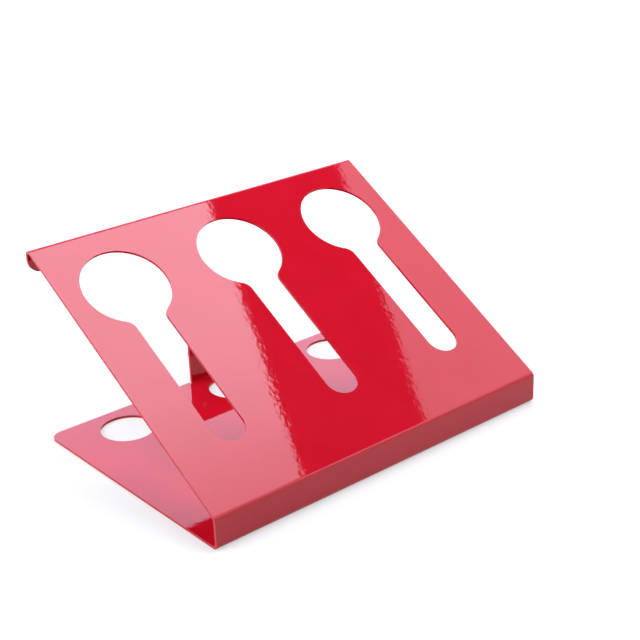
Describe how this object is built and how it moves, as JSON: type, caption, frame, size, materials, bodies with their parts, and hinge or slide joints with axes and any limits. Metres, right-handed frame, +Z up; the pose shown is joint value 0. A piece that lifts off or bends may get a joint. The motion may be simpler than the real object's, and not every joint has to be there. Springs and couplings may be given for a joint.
{
  "type": "magnetic power tool holder",
  "caption": "Folded sheet-steel rack with keyhole bays on a sloped deck that hold cordless tools by the grip, with pot magnets on its rear flange and tab for a steel wall.",
  "frame": {"origin": "centre of the outline in plan, at the underside of the base plate", "axes": "+X along the rack, +Y to the rear where the magnets face the wall, +Z up"},
  "size_m": [0.298, 0.2152, 0.1488],
  "materials": {
    "red_paint": "gloss red powder coat on 2 mm steel",
    "nickel_steel": "nickel-plated steel cup, satin bright",
    "magnet_nickel": "nickel-plated neodymium, ground face",
    "black_resin": "matt potting resin",
    "zinc_steel": "zinc-plated steel screw"
  },
  "bodies": {
    "root": {"rack_body": "red_paint", "flange_magnet_1_cup": "nickel_steel", "flange_magnet_1_ring": "magnet_nickel", "flange_magnet_1_resin": "black_resin", "flange_magnet_1_screw": "zinc_steel", "flange_magnet_1_clinch_nut": "red_paint", "flange_magnet_2_cup": "nickel_steel", "flange_magnet_2_ring": "magnet_nickel", "flange_magnet_2_resin": "black_resin", "flange_magnet_2_screw": "zinc_steel", "flange_magnet_2_clinch_nut": "red_paint", "flange_magnet_3_cup": "nickel_steel", "flange_magnet_3_ring": "magnet_nickel", "flange_magnet_3_resin": "black_resin", "flange_magnet_3_screw": "zinc_steel", "flange_magnet_3_clinch_nut": "red_paint", "flange_magnet_4_cup": "nickel_steel", "flange_magnet_4_ring": "magnet_nickel", "flange_magnet_4_resin": "black_resin", "flange_magnet_4_screw": "zinc_steel", "flange_magnet_4_clinch_nut": "red_paint", "tab_magnet_1_cup": "nickel_steel", "tab_magnet_1_ring": "magnet_nickel", "tab_magnet_1_resin": "black_resin", "tab_magnet_1_screw": "zinc_steel", "tab_magnet_1_clinch_nut": "red_paint", "tab_magnet_2_cup": "nickel_steel", "tab_magnet_2_ring": "magnet_nickel", "tab_magnet_2_resin": "black_resin", "tab_magnet_2_screw": "zinc_steel", "tab_magnet_2_clinch_nut": "red_paint"}
  },
  "joints": []
}
